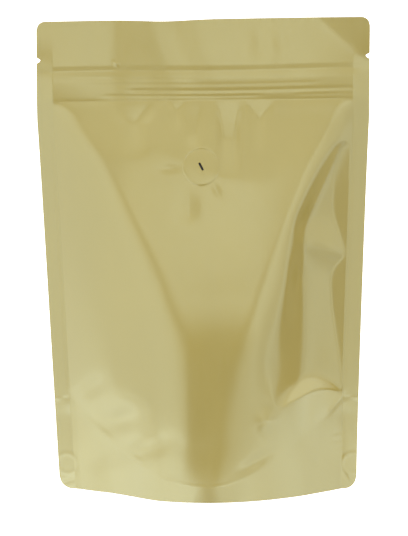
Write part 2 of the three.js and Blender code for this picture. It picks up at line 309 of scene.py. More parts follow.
def dent_rest(film, z):
    """Where the strip comes to lie flat near the seal, with the slanted pinch."""
    rest = DENT_REST(z + PINCH_SLANT * np.minimum(film - PINCH_FROM, 0) * soft_step(z, *PINCH_RISE))
    calm = CALM * soft_step(z, *CALM_RISE) * (1 - soft_step(film, *CALM_FADE))
    return rest + calm * (REST_FLAT - rest)


def dent_shelf(film, z):
    """The dented film: a steep facet, a slanted strip and a flat rest, closed by a foot and a top."""
    edge, ledge, rest, slant = DENT_EDGE(z), DENT_LEDGE(z), dent_rest(film, z), STRIP_SLANT(z)
    low = REST_DEPTH + slant * (rest - ledge)
    steep = np.maximum(skirted_depth(edge, z) - low, 0) / (ledge - edge)
    shelf = low + steep * soft(ledge - film, STEEP_CORNER) - slant * soft(film - ledge, STRIP_CORNER)
    shelf = shelf + slant * soft(film - rest, REST_CORNER)
    firm = soft_step(film, *FOOT_FIRM)
    foot_slope = FOOT_SLOPE * (LIMP_SLOPE + (1 - LIMP_SLOPE) * firm)
    foot_corner = FOOT_CORNER + (LIMP_CORNER - FOOT_CORNER) * (1 - firm)
    shelf = shelf + foot_slope * soft(DENT_FOOT(film) - z, foot_corner)
    return shelf + DENT_TOP_SLOPE * soft(z - DENT_TOP, DENT_TOP_CORNER)


def dented_depth(film, z):
    """The filled panel or the dented film, whichever lies deeper, with a rounded fold between them."""
    filled, shelf = skirted_depth(film, z), dent_shelf(film, z)
    meets = DENT_MEETS(z) * between(film, *MEETS_SPAN)
    return (filled + shelf) / 2 - np.hypot(filled - shelf, meets) / 2


middle_ledge = DENT_LEDGE(DENT_MIDDLE)
sunk = skirted_depth(middle_ledge, DENT_MIDDLE) - dented_depth(middle_ledge, DENT_MIDDLE)
print("film sunk at the ledge, mm:", round(float(sunk), 1))

# %% [markdown]
# ## The zip
# The two halves of the zip are ribs welded to the inside of the film, which shows them as nearly
# straight steps. They don't show over the whole width, because the film lies on them more or less tightly.

# %% Zip
ZIP_FOOT = 200.0
# For each rib: its height, depth, the width of the step, the run of the slope below it, and its ends.
ZIP_RIBS = [
    (214.8, 0.25, 2.6, 4, -83, 83),
    (210.7, 0.08, 0.8, 1.5, -78, 0),
    (208.2, 0.06, 0.7, 1.5, -60, 60),
    (205, 0.18, 1, 1.6, -40, 78),
    (202.3, 0.14, 0.8, 1.2, -52, 32),
    (202.3, 0.08, 0.6, 1.2, 44, 78),
    (199.6, 0.1, 1, 3, -78, -46),
    (199.6, 0.08, 0.9, 3, 34, 78),
]
RIB_CORNER, RIB_END, RIB_FADE = 0.3, 1.0, 8.0
ZIP_WAVE, ZIP_WAVE_RUN, ZIP_WAVE_START = 0.3, 21.0, 1.0


def zip_relief(film, z):
    """Going up, the film sinks behind each rib of the zip and steps out again over the next one."""
    relief = 0
    z = z + ZIP_WAVE * np.sin(film / ZIP_WAVE_RUN + ZIP_WAVE_START)
    for height, depth, width, run, start, end in ZIP_RIBS:
        length = between(film, start - RIB_END, start + RIB_FADE, end - RIB_FADE, end + RIB_END)
        sink = facet(z, height - run, height, RIB_CORNER) - facet(z, height, height + width, RIB_CORNER)
        relief = relief - depth * length * sink
    return relief


print("ribs of the zip:", len(ZIP_RIBS), "up to, mm:", ZIP_RIBS[0][0])

# %% [markdown]
# ## The brow and the pleats under the zip
# Just below the zip the panel first stands out in a low brow and is then drawn back to the flat zip. The
# slack that this leaves hangs from the zip in shallow pleats.

# %% Brow
BROW_LINE = bend_line(
    [(-75, 186), (-60, 180), (-45, 173), (-28, 177), (-12, 172), (10, 163), (35, 160), (48, 168), (75, 186)]
)
BROW_FOOT, BROW_REACH, BROW_CORNER = 105.0, 1.7, 4.0
BROW_POWER, BROW_CLEAR = 3, 8.0


def brow(film, z):
    """A low swell that ends at the zip and stays clear of the right dent."""
    line = BROW_LINE(film)
    swell = facet(z, BROW_FOOT, line, BROW_CORNER) - facet(z, line, ZIP_FOOT, BROW_CORNER)
    dented = soft_step(film - DENT_EDGE(z), 0, BROW_CLEAR)
    return BROW_REACH * swell * (1 - share_at(film) ** BROW_POWER) * (1 - dented)


print("brow in the middle, mm:", round(float(brow(0.0, BROW_LINE(0.0))), 1))

# %% [markdown]
# Each pleat is a shallow hollow that opens out towards the zip. A slant makes it deeper on one side, so
# that only one of its sides catches the light.

# %% Pleats
# For each pleat: left and right end, width of its point as a share, start, foot, depth and slant.
PLEATS = [
    (-48, -23, 0.4, 172, 189, 0.9, 0.5),
    (-18, -8, 0.35, 185, 195, 0.45, 0),
    (-11, 0, 0.6, 176.5, 183, 0.5, 0),
    (6, 19.5, 0.7, 163, 181, 1.2, 0),
    (20, 36, 0.35, 174, 190.5, 0.75, 0),
]
BACK_PLEATS = [
    (-48, -26, 0.35, 170, 187, 0.7, -0.3),
    (-12, 3, 0.5, 163, 179, 0.8, 0.3),
    (20, 33, 0.4, 176, 191, 0.5, 0),
]
PLEAT_SIDE, PLEAT_CORNER = 0.35, 1.0


def zip_pleats(film, z, places):
    """Each drape starts in a hollow, narrow at its foot and deeper to one side, and runs out at the zip."""
    total = 0
    for left, right, point, start, foot, depth, slant in places:
        climb = np.clip((z - foot) / (ZIP_FOOT - foot), 0, 1)
        half = (right - left) / 2 * (point + (1 - point) * climb)
        aside = film - (left + right) / 2
        side = PLEAT_SIDE * (right - left) / 2
        hollow = 1 - soft_step(np.abs(aside), half - side, half + side)
        hollow = hollow * (1 + slant * aside / half)
        rise = facet(z, start, foot, PLEAT_CORNER) - facet(z, foot, ZIP_FOOT, PLEAT_CORNER)
        total = total - depth * hollow * rise
    return total


print("pleats on the front and the back:", len(PLEATS), len(BACK_PLEATS))

# %% [markdown]
# ## The plane of the seals
# In the side seals the front and the back are one stiff strip. It bends a little to the back, its lower
# corners stand forwards with the skirts, and the top of the gusset between the films leaves a crease
# across it.

# %% Side seals
FLANGE_TILT, FLANGE_ROUND = 0.14, 3.5
FLANGE_SHARP, FLANGE_FADE = (38, 47), (203, 236)
RIGHT_FOOT, RIGHT_FOOT_ACROSS, RIGHT_FOOT_FADE = 1.4, (40, HALF_FILM), (0, 45)
LEFT_FOOT, LEFT_FOOT_ACROSS, LEFT_FOOT_FADE = 1.4, (52, 70), (0, 40)
GUSSET_CREASE, GUSSET_CREASE_STEP = 0.045, 1.0
GUSSET_BAND = GUSSET_HEIGHT + np.array([-1.6, -0.8, 0.5, 1.2])


def seals_bend(film, z):
    """How far the side seals are bent to the back."""
    past = np.abs(film) - INNER_FILM
    flange = FLANGE_TILT * soft(past, FLANGE_ROUND * (1 - soft_step(z, *FLANGE_SHARP)))
    flange = flange * (1 - soft_step(z, *FLANGE_FADE))
    right = RIGHT_FOOT * soft_step(film, *RIGHT_FOOT_ACROSS) * (1 - soft_step(z, *RIGHT_FOOT_FADE))
    left = LEFT_FOOT * soft_step(-film, *LEFT_FOOT_ACROSS) * (1 - soft_step(z, *LEFT_FOOT_FADE))
    past = np.maximum(past, 0)
    tilt = GUSSET_CREASE * (past - SIDE_SEAL / 2 * soft_step(past, 0, GUSSET_CREASE_STEP))
    return flange - right - left - tilt * between(z, *GUSSET_BAND)


print("right seal's edge bent back, mm:", round(float(seals_bend(HALF_FILM, DENT_MIDDLE)), 1))

# %% [markdown]
# Above the zip the lip leans back and waves, because nothing holds it. It has two long dimples, and its
# right corner is folded forwards along a slanting line.

# %% Lip
LIP_LEAN, LIP_BEND = 0.17, 3.0
LIP_START, LIP_MIDDLE = 216.5, 228.0
LIP_WAVE = bend_line(
    [(-83, -1.25), (-64, -0.6), (-52, -0.15), (-44, 0), (-38, -0.22), (-30, -0.54), (-22, -0.86)]
    + [(-16, -0.92), (-12, -0.95), (-6, -1.1), (0, -1.26), (6, -1.3), (20, -1.3), (35, -1.25)]
    + [(58, -1.4), (70, -1.3), (83, -1)]
)
WAVE_RISE = (ZIP_FOOT - 12, LIP_START)
WAVE_SLANT, SLANT_SPAN = 0.4, (-40, -25, 40, 55)
DIMPLES = [(28.3, 227.0), (39.2, 227.7)]
DIMPLE_DEPTH, DIMPLE_LENGTH, DIMPLE_WIDTH = 0.14, 7.0, 3.5
FOLD_PLACE, FOLD_HEIGHT, FOLD_SLOPE = 58.0, 239.0, -0.94
FOLD_TURN, FOLD_CORNER = 0.115, 3.0
FOLD_ACROSS, FOLD_RISE = (50, 62), (LIP_START, LIP_START + 6)


def lip_bend(film, z):
    """How far the lip is bent to the back."""
    lean = LIP_LEAN * soft(z - ZIP_FOOT, LIP_BEND)
    slant = WAVE_SLANT * (z - LIP_MIDDLE) * between(film, *SLANT_SPAN)
    wave = LIP_WAVE(film + slant) * soft_step(z, *WAVE_RISE)
    dimples = sum(long_dent(film, z, place, DIMPLE_LENGTH, DIMPLE_WIDTH) for place in DIMPLES)
    above = z - FOLD_HEIGHT - FOLD_SLOPE * (film - FOLD_PLACE)
    fold = FOLD_TURN * soft(above, FOLD_CORNER) * soft_step(film, *FOLD_ACROSS) * soft_step(z, *FOLD_RISE)
    return lean + wave + DIMPLE_DEPTH * dimples - fold


print("lip's middle bent back, mm:", round(float(lip_bend(0.0, STAND_HEIGHT)), 1))

# %% [markdown]
# ## Marks in the seals
# Near the floor a round tack on each side holds the front and the back together, through a hole in the
# gusset. Along the inner edge of each side seal the melt has set as a fine bead. The corners and the
# skirts have short creases.

# %% Marks in the seals
TACKS = [(-78.6, 13.2), (80.6, 13.1)]
TACK_RADIUS, TACK_WIDTH, TACK_HEIGHT = 5.2, 0.9, 0.14
BEAD_PLACE, BEAD_WIDTH, BEAD_HEIGHT = INNER_FILM + 0.6, 0.8, 0.16
BEAD_SPAN, BEAD_RIGHT_SHARE = (48, 54, 170, 195), 0.5
# For each crease: its place, length, width, turn and depth.
SEAL_CREASES = [
    ((-78.5, 3.8), 5, 0.9, 70, 0.22),
    ((77.5, 6.5), 3.5, 0.8, 149, 0.22),
    ((71, 44.3), 5.5, 1.3, 43, 0.3),
    ((72.6, 22), 2.6, 0.8, 88, 0.1),
    ((72.2, 25.6), 3.2, 0.8, 95, 0.12),
    ((72, 29.6), 3, 0.8, 84, 0.1),
    ((61, 16.5), 2.2, 2, 0, 0.16),
]


def seal_marks(film, z):
    """What stands out of both seals' faces: the rims of the tacks and the beads."""
    tacks = sum(hump(np.hypot(film - right, z - up), TACK_RADIUS, TACK_WIDTH) for right, up in TACKS)
    bead = BEAD_HEIGHT * hump(np.abs(film), BEAD_PLACE, BEAD_WIDTH) * between(z, *BEAD_SPAN)
    return TACK_HEIGHT * tacks + bead * np.where(film < 0, 1, BEAD_RIGHT_SHARE)


def set_back(film, z):
    """How far the plane of the seals is bent to the back in all, for the front and the back alike."""
    creases = sum(depth * long_dent(film, z, *crease) for *crease, depth in SEAL_CREASES)
    return seals_bend(film, z) + lip_bend(film, z) + creases - zip_relief(film, z)


print("tacks:", len(TACKS), "creases in the seals and skirts:", len(SEAL_CREASES))

# %% [markdown]
# ## Dents round the valve and in the gusset corners
# The stiff valve holds its patch of film flat, so short dents run out from its rim. In the lower corners
# the film has crumpled where the gusset is welded in, in folds that fan out from the side seals. The back
# of such a bag has folds of the same kind, and a long soft one on each side.

# %% Dents
# For each dent: its place, length, width, turn and height, which is below 0 where the film goes in.
DENTS = [
    ((-17, 167), 5, 1.8, 90, -0.2),
    ((6.5, 156), 3.5, 1.6, -30, -0.2),
    ((-62.5, 55.5), 10, 5, 52, -1.1),
    ((-46, 40.5), 10.5, 6, 62, -1.5),
    ((-32.5, 26.5), 10, 4.5, 64, -0.8),
    ((-43.3, 218.6), 1.6, 0.9, -30, 0.35),
    ((32.2, 41.3), 5, 5, 0, 1),
    ((25.5, 19.5), 8.5, 3.6, 62, -0.85),
]
BACK_DENTS = [
    ((-60, 54), 10, 5, 50, -0.9),
    ((44, 38), 11, 5.5, -60, -1.2),
    ((61, 56), 9, 4.5, -52, -0.8),
    ((56, 140), 27, 5, 15, -1.3),
    ((-52, 132), 25, 5, -14, -1),
]
HELD_POWER, HELD_RISE = 8, 5.0


def dents(film, z, places):
    """All dents of a panel, which fade out where the seals hold the film."""
    held = (1 - share_at(film) ** HELD_POWER) * soft_step(z - seal_arc(film), 0, HELD_RISE)
    return held * sum(height * long_dent(film, z, *dent) for *dent, height in places)


print("dents on the front and the back:", len(DENTS), len(BACK_DENTS))

# %% [markdown]
# Below the valve the film hangs from its stiff rim in one shallow crease. A round dent would mirror the
# room as a ring, so this one has straight sides.

# %% Crease under the valve
CREASE_PLACE, CREASE_DEPTH, CREASE_CORNER = -7.4, 0.32, 0.1
CREASE_LEFT, CREASE_RIGHT = 9.0, 5.8
CREASE_SPAN = (138, 146, 146, 160)


def valve_crease(film, z):
    """A shallow crease with straight sides, steeper on the right, that hangs down from the valve's rim."""
    aside = film - CREASE_PLACE
    sides = soft(1 - np.maximum(aside / CREASE_RIGHT, -aside / CREASE_LEFT), CREASE_CORNER)
    return -CREASE_DEPTH * sides * between(z, *CREASE_SPAN)


print("crease under the valve, mm:", CREASE_LEFT + CREASE_RIGHT, "wide and", CREASE_DEPTH, "deep")

# %% [markdown]
# ## From film to space
# Every point of the flat film has a place across and a height. Its depth in front of or behind the
# side seals' plane is the sum of the form and the folds.


# %% Depth of the front and the back
def front_depth(film, z):
    folds = brow(film, z) + dents(film, z, DENTS) + valve_crease(film, z)
    filled = np.maximum(dented_depth(film, z) + folds, 0) * (share_at(film) < 1)
    return filled + zip_pleats(film, z, PLEATS) + seal_marks(film, z)


def back_depth(film, z):
    filled = np.maximum(skirted_depth(film, z) + dents(film, z, BACK_DENTS), 0) * (share_at(film) < 1)
    return filled + zip_pleats(film, z, BACK_PLEATS) + seal_marks(film, z)


belly = front_depth(0.0, BELLY_HEIGHT) + back_depth(0.0, BELLY_HEIGHT)
print("front to back at the belly, mm:", round(float(belly), 1))

# %% [markdown]
# The film has a shallow seat under the valve's disc, so that the slit has room. The whole bag leans a
# little to the left, and its right side stands a little higher.

# %% Points of the panels
VALVE_RIGHT, VALVE_HEIGHT, VALVE_RADIUS = -1.3, 167.8, 9.2
SEAT_DEPTH, SEAT_SLOPE, SEAT_RIM = 1.4, 3.0, 0.4
LEAN_SHIFT, LEAN_TOP, LEAN_POWER, LEAN_RISE = 2.8, 200.0, 0.7, 0.0165
FRONT, BACK = -1, 1


def valve_seat(film, z):
    away = np.hypot(film - VALVE_RIGHT, z - VALVE_HEIGHT)
    return SEAT_DEPTH * (1 - soft_step(away, VALVE_RADIUS - SEAT_SLOPE, VALVE_RADIUS - SEAT_RIM))


def leaning(x, y, z):
    drift = LEAN_SHIFT * np.clip(z / LEAN_TOP, 0, 1) ** LEAN_POWER
    return np.stack([x - drift, y, z + LEAN_RISE * x * z / STAND_HEIGHT], axis=-1)


def panel_points(film, z, side, seated=True):
    """Points of the outer surface of the front or the back, with the valve's seat or without."""
    depth = front_depth(film, z) if side == FRONT else back_depth(film, z)
    depth = depth - valve_seat(film, z) * (side == FRONT and seated)
    y = side * (depth + SEAL_THICKNESS / 2) + set_back(film, z)
    return leaning(across(film, z), y, z)


valve_middle = panel_points(np.array(VALVE_RIGHT), np.array(VALVE_HEIGHT), FRONT)
print("seat under the valve's middle, mm:", valve_middle.round(1))

# %% [markdown]
# ## The grid of the film
# The panels are grids: columns across the film and rows up it. Both are closer together where the film
# bends sharply, at the seals, the zip, the notches and the cut corners. The back panel shows less, so it
# has half as many columns and rows.


# %% Columns and rows
def spaced(stops):
    """Values from stop to stop, with the step that follows each stop in the list."""
    values = []
    for (low, step), (high, _) in zip(stops, stops[1:]):
        count = max(int(round((high - low) / step)), 1)
        values.extend(np.linspace(low, high, count, endpoint=False))
    return np.array(values + [stops[-1][0]])


def odd_count(values):
    """Drops the second value where needed, so that every second one still ends at the edge."""
    return values if len(values) % 2 else np.delete(values, 1)


COLUMN_STOPS = [(0, 0.85), (64, 0.55), (71, 0.42), (77.5, 0.62), (HALF_FILM, 1)]
ROW_STOPS = [(0, 0.8), (8, 0.9), (48, 0.5), (60, 1.0), (140, 0.9), (199, 0.42), (218, 0.4), (223, 1.0)]
half_columns = spaced(COLUMN_STOPS)
columns = np.concatenate([-half_columns[:0:-1], half_columns])
rows = odd_count(spaced(ROW_STOPS + [(234, 0.6), (STAND_HEIGHT, 1)]))
print("columns:", len(columns), "rows:", len(rows))

# %% [markdown]
# The cut edge isn't straight: the corners are rounded, the top sags a little left of the middle, and a
# small notch on each side helps to tear the bag open. Moving the grid's last rows and columns on to this
# edge keeps all faces four-sided, which cutting the corners off wouldn't.

# %% Cut edge and notches
TOP_CORNER, BASE_CORNER, CORNER_EASE = 4.2, 6.5, 1.0
TOP_SAG, SAG_PLACE, SAG_REACH, SAG_EASE = 0.8, -19.0, 15.0, 8.0
NOTCH_HEIGHT, NOTCH_DEPTH, NOTCH_HALF = 220.6, 2.5, 1.5


def cut_corners(film, z):
    """Moves rows near the floor and the top edge on to the rounded corners."""

    def cut(radius):
        past = np.clip(np.abs(film) - (HALF_FILM - radius), 0, radius)
        return radius - np.sqrt(radius**2 - past**2)

    below_top = STAND_HEIGHT - z
    low = cut(BASE_CORNER) * np.clip(1 - z / (BASE_CORNER + CORNER_EASE), 0, 1)
    high = cut(TOP_CORNER) * np.clip(1 - below_top / (TOP_CORNER + CORNER_EASE), 0, 1)
    sag = TOP_SAG * hump(film, SAG_PLACE, SAG_REACH) * np.clip(1 - below_top / SAG_EASE, 0, 1)
    return z + low - high - sag


def notched(film, z):
    """Draws the columns of the side seals in where the tear notches are cut."""
    bite = NOTCH_DEPTH * np.clip(1 - np.abs(z - NOTCH_HEIGHT) / NOTCH_HALF, 0, 1)
    past = np.clip((np.abs(film) - INNER_FILM) / SIDE_SEAL, 0, 1)
    return film - np.sign(film) * past * bite


def panel_grid(film_line, z_line, side):
    film, z = np.meshgrid(film_line, z_line)
    z = cut_corners(film, z)
    return panel_points(notched(film, z), z, side)


front_grid = panel_grid(columns, rows, FRONT)
back_grid = panel_grid(columns[::2], rows[::2], BACK)
print("points of the front and the back:", front_grid[..., 0].size, back_grid[..., 0].size)

# %% [markdown]
# ## The gusset
# Seen from below, the gusset rises from the curved seals to its fold, which runs from side seal to
# side seal. The coffee presses its middle flat on the floor.

# %% Gusset under the bag
RECESS_END, RECESS_CLOSING = 0.97, 0.03
SKIRT_THICKNESS = 0.4
GUSSET_SAG = -4.0
TENT_START, TENT_END, TENT_POWER = 0.42, 1.02, 1.4
GUSSET_STEPS = 12
FLOOR_GAP = 0.12


def gusset_lines(film_line):
    """One line of points for each step: up the front skirt, over the gusset and down the back skirt."""
    share = share_at(film_line)
    arc = seal_arc(film_line)
    climb = soft_step(share, TENT_START, TENT_END) ** TENT_POWER
    fold = GUSSET_SAG + (GUSSET_HEIGHT - GUSSET_SAG) * climb
    closing = np.clip((RECESS_END - share) / RECESS_CLOSING, 0, 1)

    def skirt_inside(z):
        return closing * np.maximum(back_depth(film_line, z) + SEAL_THICKNESS / 2 - SKIRT_THICKNESS, 0)

    front = [leaning(across(film_line, z), -skirt_inside(z), z) for z in (0 * arc, arc / 2)]
    for off in np.linspace(1, 0, GUSSET_STEPS + 1):
        z = np.maximum(fold + (arc - fold) * off**2, FLOOR_GAP)
        front.append(leaning(across(film_line, z), -off * skirt_inside(arc), z))
    back = [line * (1, -1, 1) for line in front[-2::-1]]
    return np.array(front + back)


coarse_columns = columns[::2]
recess = np.nonzero(np.abs(coarse_columns) < RECESS_END * INNER_FILM)[0]
gusset_grid = gusset_lines(coarse_columns[recess])
print("lines of the gusset:", len(gusset_grid), "highest point, mm:", gusset_grid[..., 2].max().round(1))

# %% [markdown]
# ## One closed mesh
# The front, the back, the gusset and the thin cut edges become one mesh without holes, as the real bag
# is one skin. Where the finer front meets the coarser back, faces with five corners join them.


# %% Faces of the film
def numbered(grid, first):
    return first + np.arange(grid[..., 0].size).reshape(grid.shape[:2])


def grid_faces(ids):
    a, b, c, d = ids[:-1, :-1], ids[:-1, 1:], ids[1:, 1:], ids[1:, :-1]
    return np.stack([a, b, c, d], axis=-1).reshape(-1, 4).tolist()


def joining_faces(fine, coarse):
    """Five-cornered faces between a fine line of points and a coarse one of half as many steps."""
    steps = range(len(coarse) - 1)
    return [[*fine[2 * k : 2 * k + 3].tolist(), coarse[k + 1], coarse[k]] for k in steps]


def close_film(front_ids, back_ids, gusset_ids):
    """Faces of the three grids and of the cut edges between them."""
    first, last = recess[0], recess[-1]
    faces = grid_faces(front_ids) + grid_faces(back_ids) + grid_faces(gusset_ids)
    faces += joining_faces(front_ids[-1], back_ids[-1])
    for edge in (0, -1):
        faces += joining_faces(front_ids[:, edge], back_ids[:, edge])
    faces += joining_faces(front_ids[0, 2 * first : 2 * last + 1], gusset_ids[0])
    faces += joining_faces(front_ids[0, : 2 * first + 1], back_ids[0, : first + 1])
    faces += joining_faces(front_ids[0, 2 * last :], back_ids[0, last:])
    faces += [
        [gusset_ids[-1, k], gusset_ids[-1, k + 1], back_ids[0, first + k + 1], back_ids[0, first + k]]
        for k in range(last - first)
    ]
    for column, seam in ((0, first), (-1, last)):
        faces.append([front_ids[0, 2 * seam], *gusset_ids[:, column].tolist(), back_ids[0, seam]])
    return faces


front_ids = numbered(front_grid, 0)
back_ids = numbered(back_grid, front_ids.size)
gusset_ids = numbered(gusset_grid, front_ids.size + back_ids.size)
film_faces = close_film(front_ids, back_ids, gusset_ids)
print("faces of the film:", len(film_faces))

# %% [markdown]
# The leaning film is shifted sideways until its box is over the solid pouch's box. Then the mesh is made,
# its normals are turned outwards, and it is shaded smooth except where it is cut.


# %% Make the film mesh
def new_piece(name, points, faces):
    mesh = bpy.data.meshes.new(name)
    mesh.from_pydata([tuple(p) for p in points * MM], [], faces)
    piece = bpy.data.objects.new(name, mesh)
    bpy.context.scene.collection.objects.link(piece)
    return piece


SAME_PLACE = 1e-6


def finish_mesh(piece, sharp_degrees):
    """Closes the mesh, turns its normals outwards and shades it, sharp only at steep edges."""
    work = bmesh.new()
    work.from_mesh(piece.data)
    bmesh.ops.remove_doubles(work, verts=work.verts, dist=SAME_PLACE)
    bmesh.ops.recalc_face_normals(work, faces=work.faces)
    open_edges = sum(not edge.is_manifold for edge in work.edges)
    work.to_mesh(piece.data)
    work.free()
    piece.data.polygons.foreach_set("use_smooth", [True] * len(piece.data.polygons))
    piece.data.set_sharp_from_angle(angle=np.radians(sharp_degrees))
    piece.data.calc_loop_triangles()
    print(piece.name, "triangles:", len(piece.data.loop_triangles), "open edges:", open_edges)


film_points = np.concatenate([grid.reshape(-1, 3) for grid in (front_grid, back_grid, gusset_grid)])
pouch_low, pouch_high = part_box("pouch")
film_middle = (film_points[:, 0].min() + film_points[:, 0].max()) / 2
SIDE_SHIFT = (pouch_low.x + pouch_high.x) / 2 / MM - film_middle
film_points[:, 0] += SIDE_SHIFT
pouch_film = new_piece("pouch_film", film_points, film_faces)
finish_mesh(pouch_film, sharp_degrees=50)
print("film shifted, mm:", round(float(SIDE_SHIFT), 2))

# %% [markdown]
# ## The valve
# The one-way valve is a disc welded to the inside of the film. What shows is the film pressed over it: a
# flat disc, a groove and a weld ring round it, and a slit through which the gas leaves. The disc sits a
# little askew, with its upper edge deeper and its lower edge standing out, so its rim catches the light
# below. It is turned from rings that follow the panel, because it has to lie on the leaning film.

# %% Rings of the valve
VALVE_SIDES = 96
SLIT_HALF, SLIT_RADIUS, SLIT_TURN = 1.6, 0.55, 28.0
# Each ring: its size as a share of the slit's or the rim's, and how far it stands out of the film.
SLIT_PROFILE = [(0.55, -0.9), (0.9, -0.9), (1.0, -0.2)]
DISC_PROFILE = [(0.0, 0.01), (0.12, 0.04), (0.4, 0.05), (0.7, 0.05), (0.85, 0.04), (0.9, 0.02)]
RING_PROFILE = [(0.945, 0.03), (0.985, 0.02), (1.03, 0.01), (1.05, -0.1)]
UNDERSIDE = [(0.9, -0.16), (0.62, -1.2)]
DISC_TILT, TILT_END = 0.17, 0.96
SLOPE_STEP = 0.5


def valve_surface(flat, raised):
    """Points on the panel round the valve's middle, raised off the film along its own slant."""
    film, z = VALVE_RIGHT + flat[0], VALVE_HEIGHT + flat[1]

    def at(aside, above):
        return panel_points(film + aside, z + above, FRONT, seated=False)

    out = np.cross(at(SLOPE_STEP, 0) - at(-SLOPE_STEP, 0), at(0, SLOPE_STEP) - at(0, -SLOPE_STEP))
    return at(0, 0) + np.reshape(raised, (-1, 1)) * out / np.linalg.norm(out, axis=-1, keepdims=True)


def valve_rings():
    turn = np.linspace(0, 2 * np.pi, VALVE_SIDES, endpoint=False)
    circle = np.stack([np.cos(turn), np.sin(turn)])
    rim = VALVE_RADIUS * circle
    slit = SLIT_RADIUS * circle + SLIT_HALF * np.stack([0 * turn, np.sign(circle[1])])
    tilt = np.radians(SLIT_TURN)
    slit = np.array([[np.cos(tilt), -np.sin(tilt)], [np.sin(tilt), np.cos(tilt)]]) @ slit
    rings = [valve_surface(share * slit, raised) for share, raised in SLIT_PROFILE]
    for share, raised in DISC_PROFILE + RING_PROFILE:
        flat = share * rim + max(1 - share, 0) * slit
        tilted = DISC_TILT * flat[1] / VALVE_RADIUS * (share < TILT_END)
        rings.append(valve_surface(flat, raised - tilted))
    rings += [valve_surface(share * rim, raised) for share, raised in UNDERSIDE]
    return np.array(rings)


rings = valve_rings()
print("rings of the valve:", len(rings), "with", VALVE_SIDES, "points each")

# %% [markdown]
# Faces between the rings make the disc. A last face closes the slit at its floor, and another closes the
# underside, which is sunk in the film's seat.

# %% Valve disc
ring_ids = numbered(rings, 0)
loop_ids = np.concatenate([ring_ids, ring_ids[:, :1]], axis=1)
disc_points = rings.reshape(-1, 3) + (SIDE_SHIFT, 0, 0)
disc_faces = grid_faces(loop_ids) + [ring_ids[-1].tolist(), ring_ids[0].tolist()]
valve_disc = new_piece("valve_disc", disc_points, disc_faces)
finish_mesh(valve_disc, sharp_degrees=60)

# %% [markdown]
# ## Materials
# Each material is a node tree round one shader. Three small functions build it: one turns a colour from
# its hex value to linear light, one adds a node with its settings and links, and one starts a material.
# A fourth makes grain of a size in millimetres.


# %% Colours and nodes
def linear(hex_colour):
    """A hex colour as linear light, by the curve of the sRGB standard."""
    values = np.array([int(hex_colour[k : k + 2], 16) for k in (1, 3, 5)]) / 255
    curve = np.where(values <= 0.04045, values / 12.92, ((values + 0.055) / 1.055) ** 2.4)
    return (*curve, 1.0)


def add_node(tree, kind, settings=None, links=None):
    """Adds a node, sets its inputs or properties by name, and links inputs to other nodes' outputs."""
    node = tree.nodes.new(kind)
    for name, value in (settings or {}).items():
        if name in node.inputs:
            node.inputs[name].default_value = value
        else:
            setattr(node, name, value)
    for name, source in (links or {}).items():
        tree.links.new(source, node.inputs[name])
    return node


def new_material(name, shader):
    material = bpy.data.materials.new(name)
    material.use_nodes = True
    tree = material.node_tree
    tree.nodes.clear()
    surface = add_node(tree, "ShaderNodeBsdfPrincipled", shader)
    add_node(tree, "ShaderNodeOutputMaterial", links={"Surface": surface.outputs["BSDF"]})
    return material, tree, surface


GRAIN_DETAIL = 2.0


def grain(tree, sizes):
    """Noise fixed to the object, whose grains have these sizes across, in depth and up, in millimetres."""
    place = add_node(tree, "ShaderNodeTexCoord")
    scale = [1 / (size * MM) for size in sizes]
    scaled = add_node(tree, "ShaderNodeMapping", {"Scale": scale}, {"Vector": place.outputs["Object"]})
    look = {"Scale": 1.0, "Detail": GRAIN_DETAIL}
    return add_node(tree, "ShaderNodeTexNoise", look, {"Vector": scaled.outputs[0]}).outputs[0]


print("mid grey in linear light:", round(float(linear("#808080")[0]), 3))

# %% [markdown]
# ## Satin gold film
# The outer layer is clear polyester with a satin surface. Under it lies a gold lacquer on metallised
# film. So the gold colour comes from below, and the shine on top is nearly white. Polyester alone has an
# IOR of about 1.6. The metal layer adds to the mirror image, so the value here is higher.

# %% Film shader
GOLD_LACQUER, SATIN_SHINE = "#AE973E", "#ECFFEB"
film_look, film_tree, film_surface = new_material(
    "gold-lacquered polyester film, satin laminated",
    {"Metallic": 0.0, "IOR": 1.8, "Specular IOR Level": 1.0, "Specular Tint": linear(SATIN_SHINE)},
)
print("material:", film_look.name)

# %% [markdown]
# Film is drawn through rollers, so fine lines run up it, about a millimetre apart. They bend the shine a
# little. The laminate has a faint peel of some millimetres too, and the lacquer isn't equally thick.

# %% Film grain
DRAW_LINES, PEEL, LACQUER_CLOUDS = (1.1, 1.1, 45), (6, 6, 9), (22, 22, 40)
PEEL_HEIGHT, LINE_HEIGHT = 0.02, 0.004
SATIN_ROUGHNESS = {"To Min": 0.16, "To Max": 0.25}
LACQUER_TONE = {"To Min": 0.95, "To Max": 1.05}
draw_lines = grain(film_tree, DRAW_LINES)
peel = grain(film_tree, PEEL)
clouds = grain(film_tree, LACQUER_CLOUDS)
satin = add_node(film_tree, "ShaderNodeMapRange", SATIN_ROUGHNESS, {"Value": draw_lines})
tone = add_node(film_tree, "ShaderNodeMapRange", LACQUER_TONE, {"Value": clouds})
gold = add_node(
    film_tree, "ShaderNodeHueSaturation", {"Color": linear(GOLD_LACQUER)}, {"Value": tone.outputs["Result"]}
)
waves = add_node(
    film_tree, "ShaderNodeBump", {"Strength": 1.0, "Distance": PEEL_HEIGHT * MM}, {"Height": peel}
)
lines = add_node(
    film_tree,
    "ShaderNodeBump",
    {"Strength": 1.0, "Distance": LINE_HEIGHT * MM},
    {"Height": draw_lines, "Normal": waves.outputs["Normal"]},
)
film_tree.links.new(satin.outputs["Result"], film_surface.inputs["Roughness"])
film_tree.links.new(gold.outputs["Color"], film_surface.inputs["Base Color"])
film_tree.links.new(lines.outputs["Normal"], film_surface.inputs["Normal"])
print("nodes in the film's tree:", len(film_tree.nodes))

